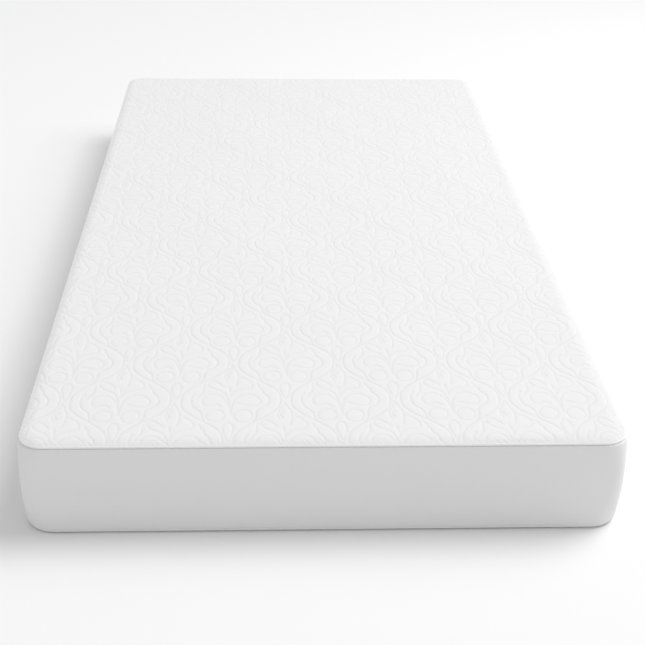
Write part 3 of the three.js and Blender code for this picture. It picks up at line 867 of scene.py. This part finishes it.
def border_section(start, end, start_reach, end_reach):
    """A strip whose edges turn in, as far as its reaches. At the zip, the edge is a rounded lip."""
    outer = []
    for z in border_heights(start, end):
        inset = face_inset(z)
        if start > FACE_LOW + CLEARANCE:
            inset += rounded(z - start, LIP_ROUNDING)
        if end < FACE_HIGH - CLEARANCE:
            inset += rounded(end - z, LIP_ROUNDING)
        outer.append((inset, z))
    low_ply, high_ply = start + ALLOWANCE_THICKNESS, end - ALLOWANCE_THICKNESS
    back_heights = np.linspace(high_ply, low_ply, BACK_ROWS)
    back = [(face_inset(z) + FABRIC_THICKNESS, z) for z in back_heights]
    return (
        outer
        + [(end_reach, end), (end_reach, high_ply)]
        + back
        + [(start_reach, low_ply), (start_reach, start)]
    )


def border_shape(seed):
    """Soft unevenness, puckers along both seams, and a dip at each upright seam."""
    soft = waves(seed, shortest=0.12, longest=0.6)
    pucker = waves(seed + 1, shortest=8 * MM, longest=22 * MM)

    def change(run, inset, z):
        level = (z - FACE_LOW) / (FACE_HIGH - FACE_LOW)
        edge = np.exp(-min(z - FACE_LOW, FACE_HIGH - z) / PUCKER[1])
        if inset > face_inset(z) + FABRIC_THICKNESS / 2:
            return np.zeros(len(run))
        bulge = -UNEVENNESS * math.sin(math.pi * level) * soft(run + 0.3 * z)
        drawn = PUCKER[0] * edge * pucker(run)
        to_end = np.minimum(run, run[-1] - run)
        dip = UPRIGHT_DIP[0] * np.exp(-to_end / UPRIGHT_DIP[1])
        return bulge + drawn + dip

    return change


def padding_strip(name, start, end, rows):
    """A foam layer behind the border."""
    outer_gap = FABRIC_THICKNESS + CLEARANCE
    outer = [(face_inset(z) + outer_gap, z) for z in np.linspace(start, end, PADDING_ROWS)]
    return swept(name, outer + [(PADDING_BACK, end), (PADDING_BACK, start)], rows)


# ---- Piping -------------------------------------------------------------------------------

BIAS_THICKNESS = 0.6 * MM
FLANGE_DEPTH = 6.8 * MM
BIAS_WRINKLE = 0.06 * MM
BEAD_STEPS = 25
HOLLOW_STEPS = 13


def bead_points(bead, radius, start, end, count):
    """Points round a bead, by the angle from its outermost side."""
    return [
        (bead[0] - radius * math.cos(a), bead[1] + radius * math.sin(a))
        for a in np.linspace(start, end, count)
    ]


def piping(name, bead, seed):
    """A bias strip folded round a cord, with its two plies flat in the seam."""
    hollow = BEAD_RADIUS - BIAS_THICKNESS
    slit = math.asin(CLEARANCE / BEAD_RADIUS)
    outer_ply = BEAD_RADIUS * math.sin(2 * slit)
    inner_ply = hollow * math.sin(slit)
    tip = bead[0] + BEAD_RADIUS + FLANGE_DEPTH
    section = bead_points(bead, BEAD_RADIUS, 2 * slit - math.pi, math.pi - 2 * slit, BEAD_STEPS)
    section += [(tip, bead[1] + outer_ply), (tip, bead[1] + inner_ply)]
    section += bead_points(bead, hollow, math.pi - slit, slit - math.pi, HOLLOW_STEPS)
    section += [(tip, bead[1] - inner_ply), (tip, bead[1] - outer_ply)]
    slant = waves(seed, shortest=9 * MM, longest=30 * MM)

    def wrinkle(run, inset, z):
        from_middle = math.hypot(inset - bead[0], z - bead[1])
        if inset > bead[0] + BEAD_RADIUS or from_middle < hollow + CLEARANCE:
            return np.zeros(len(run))
        return BIAS_WRINKLE * slant(run + 1.5 * (z - bead[1]))

    return swept(name, section, ALL_ROUND, closed=True, shape=wrinkle)


# ---- Zip ----------------------------------------------------------------------------------

COIL_PITCH = 1.6 * MM
COIL_FILAMENT = 0.36 * MM
HEAD_OVERLAP = 0.3 * MM
STITCH_LENGTH = 3 * MM
STITCH_PITCH = 3.8 * MM
THREAD_RADIUS = 0.22 * MM
THREAD_SIDES = 6
STITCH_STEPS = 6
TURN_STEPS = 12
HEAD_SWAY = 0.08  # how far a coil's heads lean along it, in pitches
TUBE_SIDE = (0.31, 0.83, 0.46)  # a direction that no tube runs along
FLAT_ANGLE = math.radians(4)
SHARP_ANGLE = math.radians(25)


def tube(path, radius, sides):
    """Points and faces of a closed tube along a path, with a flat cap at each end."""
    path = np.asarray(path)
    ahead = np.gradient(path, axis=0)
    ahead /= np.linalg.norm(ahead, axis=1)[:, None]
    side = np.cross(ahead, TUBE_SIDE)
    side /= np.linalg.norm(side, axis=1)[:, None]
    up = np.cross(side, ahead)
    angle = np.arange(sides) * 2 * math.pi / sides
    ring = np.cos(angle)[:, None] * side[:, None] + np.sin(angle)[:, None] * up[:, None]
    points = (path[:, None] + radius * ring).reshape(-1, 3)
    faces = grid_faces(len(path), sides, wrap_columns=True).tolist()
    last = (len(path) - 1) * sides
    return points, faces + [list(range(sides)), [last + i for i in reversed(range(sides))]]


def joined(name, tubes):
    """One object from several tubes."""
    points, faces, first = [], [], 0
    for some_points, some_faces in tubes:
        points.append(some_points)
        faces += [[first + i for i in face] for face in some_faces]
        first += len(some_points)
    points = np.vstack(points)
    return mesh_object(name, points, faces, weave=points)


def zip_coil(name, node, side):
    """A nylon spiral whose heads cross the middle of the zip between the other coil's."""
    a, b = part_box(node)
    turns = int((b.x - a.x - 2 * COIL_FILAMENT) / COIL_PITCH) - 1
    start = a.x + COIL_FILAMENT + (COIL_PITCH / 2 if side < 0 else 0)
    back = b.z if side > 0 else a.z
    head = ZIP_Z - side * HEAD_OVERLAP
    reach = abs(back - head) / 2 - COIL_FILAMENT
    depth = (b.y - a.y) / 2 - COIL_FILAMENT
    t = np.linspace(0, turns, turns * TURN_STEPS + 1)
    turn = 2 * math.pi * t
    path = np.stack([
        start + COIL_PITCH * (t + HEAD_SWAY * np.sin(2 * turn)),
        (a.y + b.y) / 2 + depth * np.sin(turn),
        (back + head) / 2 + reach * np.cos(turn),
    ], 1)
    return joined(name, [tube(path, COIL_FILAMENT, THREAD_SIDES)])


def stitch(start, end, sink):
    """One stitch of thread, as a path that dips into the cloth at both ends."""
    start, end, sink = Vector(start), Vector(end), Vector(sink)
    path = []
    for i in range(STITCH_STEPS + 1):
        t = i / STITCH_STEPS
        path.append(start.lerp(end, t) + sink * (2 * abs(t - 0.5)) ** 4)
    return tube(path, THREAD_RADIUS, THREAD_SIDES)


def stitch_row(start, end, sink):
    """Stitches from one point to another, a pitch apart."""
    start, end = Vector(start), Vector(end)
    count = int((end - start).length / STITCH_PITCH)
    step = (end - start) / count
    length = step * (STITCH_LENGTH / STITCH_PITCH)
    return [stitch(start + i * step, start + i * step + length, sink) for i in range(count)]


def refined(name, node, rounding, segments=2):
    """A copy of a CAD node with its edges rounded off."""
    piece = bpy.data.objects.new(name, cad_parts[node].data.copy())
    piece.data.materials.clear()
    bpy.context.scene.collection.objects.link(piece)
    work = bmesh.new()
    work.from_mesh(piece.data)
    bmesh.ops.remove_doubles(work, verts=work.verts, dist=1e-6)
    bmesh.ops.dissolve_limit(work, angle_limit=FLAT_ANGLE, verts=work.verts, edges=work.edges)
    inner = [e for e in work.edges if len(e.link_faces) == 2]
    bmesh.ops.bevel(
        work,
        geom=[e for e in inner if e.calc_face_angle() > SHARP_ANGLE],
        offset=rounding,
        segments=segments,
        profile=0.5,
        affect="EDGES",
        clamp_overlap=True,
    )
    for face in work.faces:
        face.smooth = True
    work.to_mesh(piece.data)
    work.free()
    return piece


# ---- Making the pieces --------------------------------------------------------------------

CORE_BEVEL = 12.8 * MM  # along the support foam's lower edge
FOAM_EDGE = 2 * MM
PANEL_EDGE = 1.2 * MM
EDGE_ROWS = 5
ROLL_ROWS = 9
LABEL_THICKNESS = 0.5 * MM
LABEL_MARGIN = 2 * MM
LABEL_ROWS = 14
STITCH_INSET = 4 * MM  # from an upright seam to the first stitch at the zip
STOP_ROUNDING = 0.5 * MM
SIDE_RUN = run_length(outline(0, ZIP_Z, SIDES))[-1]
RING_RUN = run_length(outline(0, ZIP_Z, ALL_ROUND))[-1]
LIP_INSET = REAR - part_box("zip_tape_upper")[1].y - CLEARANCE


def make_foam():
    support = open_foam("support_foam", (0.76, 0.8, 0.86), pore=1.1 * MM)
    memory = open_foam("memory_foam", (0.9, 0.85, 0.72), pore=0.6 * MM)
    a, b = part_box("support_foam_core")
    inset = high.x - b.x
    bevel, edge = CORE_BEVEL, FOAM_EDGE
    levels = [(inset + bevel, a.z), (inset + bevel - edge, a.z + edge / 3), (inset, a.z + bevel)]
    levels += [(inset, b.z - edge)] + quarter_edge(inset, b.z, edge)
    core = slab("foam_core", levels)
    finish(core, support, "support_foam", "support_foam_core")
    a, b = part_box("memory_foam_layer")
    levels = quarter_edge(inset, a.z, -edge)[::-1] + quarter_edge(inset, b.z, edge)
    layer = slab("foam_comfort_layer", levels)
    finish(layer, memory, "memory_foam", "memory_foam_layer")


def quarter_edge(inset, z, edge):
    """Levels round a slab's edge to its face at z. A negative edge is one at the bottom."""
    size = abs(edge)
    return [
        (inset + size * (1 - math.cos(a)), z - edge * (1 - math.sin(a)))
        for a in np.linspace(0, math.pi / 2, EDGE_ROWS)
    ]


def make_top():
    knit = fabric("quilt_knit", grey(0.84), wale=1.5 * MM, course=1.2 * MM, depth=0.2 * MM)
    top = quilted_top()
    finish(top, knit, "quilt_knit", "top_panel_fabric")

    fibre = fibrous("wadding", grey(0.9), grain=0.8 * MM, depth=0.5 * MM)
    a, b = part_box("top_panel_wadding")
    inset = high.x - b.x
    levels = [(inset, a.z), (inset, TOP_BEAD[1])]
    for depth in np.linspace(0, ROLL_DEPTH, ROLL_ROWS)[1:]:
        levels.append((inset + depth, rolled(depth, TOP_BEAD[1], b.z)))
    wadding = slab("top_wadding", levels)
    finish(wadding, fibre, "wadding", "top_panel_wadding")

    web = fibrous("non_woven", grey(0.86), grain=1.5 * MM, depth=0.15 * MM)
    a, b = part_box("top_panel_backing")
    backing = slab("top_backing", [(inset, a.z), (inset, b.z)])
    finish(backing, web, "non_woven", "top_panel_backing")


def make_border():
    knit = fabric("border_knit", grey(0.84), wale=1.3 * MM, course=1 * MM, depth=0.12 * MM)
    foam = open_foam("laminate_foam", (0.88, 0.86, 0.78), pore=0.5 * MM)
    head = head_stations(SEAM_X - CLEARANCE, CLEARANCE - SEAM_X)
    seam, lip = ALLOWANCE_INSET, LIP_INSET
    strips = [
        ("border_sides", FACE_LOW, FACE_HIGH, seam, seam, SIDES, "border_fabric"),
        ("border_head_upper", RECESS_HIGH, FACE_HIGH, lip, seam, head, "head_border_upper"),
        ("border_head_lower", FACE_LOW, RECESS_LOW, seam, lip, head, "head_border_lower"),
    ]
    for i, (name, start, end, start_reach, end_reach, rows, node) in enumerate(strips):
        section = border_section(start, end, start_reach, end_reach)
        strip = swept(name, section, rows, shape=border_shape(BORDER_SEED + 2 * i))
        finish(strip, knit, "border_knit", node)
        padding = node.replace("border_fabric", "border_padding").replace("head_border", "head_padding")
        backing = name.replace("border", "border_padding")
        a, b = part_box(padding)
        layer = padding_strip(backing, a.z, b.z, rows)
        finish(layer, foam, "laminate_foam", padding)


def make_piping():
    fine = 0.7 * MM
    bias = fabric("bias_strip", grey(0.92), fine, fine, depth=0.06 * MM, roughness=0.75)
    cotton = fibrous("cotton_cord", (0.88, 0.87, 0.84), grain=0.5 * MM, depth=0.2 * MM)
    for name, bead, seed in (("top", TOP_BEAD, 31), ("bottom", BASE_BEAD, 32)):
        cover = piping(name + "_piping", bead, seed)
        finish(cover, bias, "bias_strip", name + "_piping_cover")
        cord = name + "_piping_cord"
        paint(cord, cotton)


def make_base():
    knit = fabric("base_knit", grey(0.78), wale=2 * MM, course=1.6 * MM, depth=0.3 * MM)
    a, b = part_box("base_panel_fabric")
    inset = high.x - b.x
    levels = quarter_edge(inset, a.z, -PANEL_EDGE)[::-1] + quarter_edge(inset, b.z, PANEL_EDGE)
    panel = slab("base_panel", levels, cover=1)
    finish(panel, knit, "base_knit", "base_panel_fabric")
    sleeve = fibrous("sleeve_knit", (0.85, 0.84, 0.8), grain=1.2 * MM, depth=0.3 * MM)
    paint("inner_sleeve", sleeve)


def make_zip():
    weave = tape_weave("zip_tape", (0.84, 0.84, 0.845), rib=0.6 * MM)
    nylon = smooth_plastic("zip_nylon", (0.86, 0.86, 0.865), roughness=0.42)
    metal = tumbled_metal("zip_metal", (0.72, 0.72, 0.74))
    thread = fibrous("thread", (0.85, 0.85, 0.855), 0.2 * MM, 0.05 * MM, roughness=0.6)
    for half, side in (("upper", 1), ("lower", -1)):
        a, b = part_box("zip_tape_" + half)
        inset = REAR - b.y
        thickness = b.y - a.y
        near, far = (a.z, b.z) if side > 0 else (b.z, a.z)
        rim = side * thickness / 2
        middle, back = inset + thickness / 2, inset + thickness
        section = [(inset, near + rim), (middle, near), (back, near + rim)]
        section += [(back, far - rim), (middle, far), (inset, far - rim)]
        section = section if side > 0 else section[::-1]
        tape = swept("zip_tape_woven_" + half, section, head_stations(b.x, a.x, 8 * MM))
        face_out(tape)
        finish(tape, weave, "zip_tape", "zip_tape_" + half)
        coil = zip_coil("zip_spiral_" + half, "zip_coil_" + half, side)
        face_out(coil)
        finish(coil, nylon, "zip_nylon", "zip_coil_" + half)
        stop = "zip_top_stop_" + half
        finish(refined("zip_stop_" + half, stop, STOP_ROUNDING), metal, "zip_metal", stop)
    bottom_stop = refined("zip_stop_bottom", "zip_bottom_stop", STOP_ROUNDING)
    finish(bottom_stop, metal, "zip_metal", "zip_bottom_stop")
    for end in ("closed", "open"):
        patch = refined("zip_patch_" + end, "zip_end_patch_" + end, 1.5 * MM, segments=4)
        finish(patch, weave, "zip_tape", "zip_end_patch_" + end)
    slider = refined("zip_slider_body", "zip_slider", 0.2 * MM)
    finish(slider, metal, "zip_metal", "zip_slider", body="slider")
    tab = refined("zip_pull_tab", "zip_pull", 0.3 * MM)
    finish(tab, metal, "zip_metal", "zip_pull", body="pull")
    stitches = []
    sink = (0, -2 * THREAD_RADIUS, 0)
    for z in (RECESS_LOW - LIP_ROUNDING - MM, RECESS_HIGH + LIP_ROUNDING + MM):
        y = REAR - face_inset(z)
        reach = SEAM_X - STITCH_INSET
        stitches += stitch_row((reach, y, z), (-reach, y, z), sink)
    rows = joined("zip_topstitch", stitches)
    face_out(rows)
    finish(rows, thread, "border_knit")
    return thread


def make_label(thread):
    satin = satin_weave("label_satin", (0.9, 0.9, 0.905), thread=0.4 * MM)
    a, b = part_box("care_label")
    heights = np.linspace(a.z, b.z, LABEL_ROWS)
    shares = np.linspace(0, 1, LABEL_ROWS)
    thicknesses = LABEL_THICKNESS * (0.5 + 0.5 * np.sin(math.pi * shares))
    backs = [face_inset(z) - CLEARANCE for z in heights]
    outer = [(back - thick, z) for back, thick, z in zip(backs, thicknesses, heights)]
    inner = [(back, z) for back, z in zip(backs, heights)][::-1]
    label = swept("blank_label", outer + inner, head_stations(b.x, a.x, MM))
    finish(label, satin, "label_satin", "care_label")
    left, right = b.x - LABEL_MARGIN, a.x + LABEL_MARGIN
    bottom, top = a.z + LABEL_MARGIN, b.z - LABEL_MARGIN
    corners = [(left, bottom), (left, top), (right, top), (right, bottom)]
    sink = (0, -2 * THREAD_RADIUS, 0)
    stitches = []
    for (x0, z0), (x1, z1) in zip(corners, corners[1:] + corners[:1]):
        y0, y1 = [REAR - face_inset(z) + CLEARANCE + LABEL_THICKNESS for z in (z0, z1)]
        stitches += stitch_row((x0, y0, z0), (x1, y1, z1), sink)
    rows = joined("label_topstitch", stitches)
    face_out(rows)
    finish(rows, thread, "label_satin")


make_camera()
make_studio()
make_foam()
make_top()
make_border()
make_piping()
make_base()
make_label(make_zip())
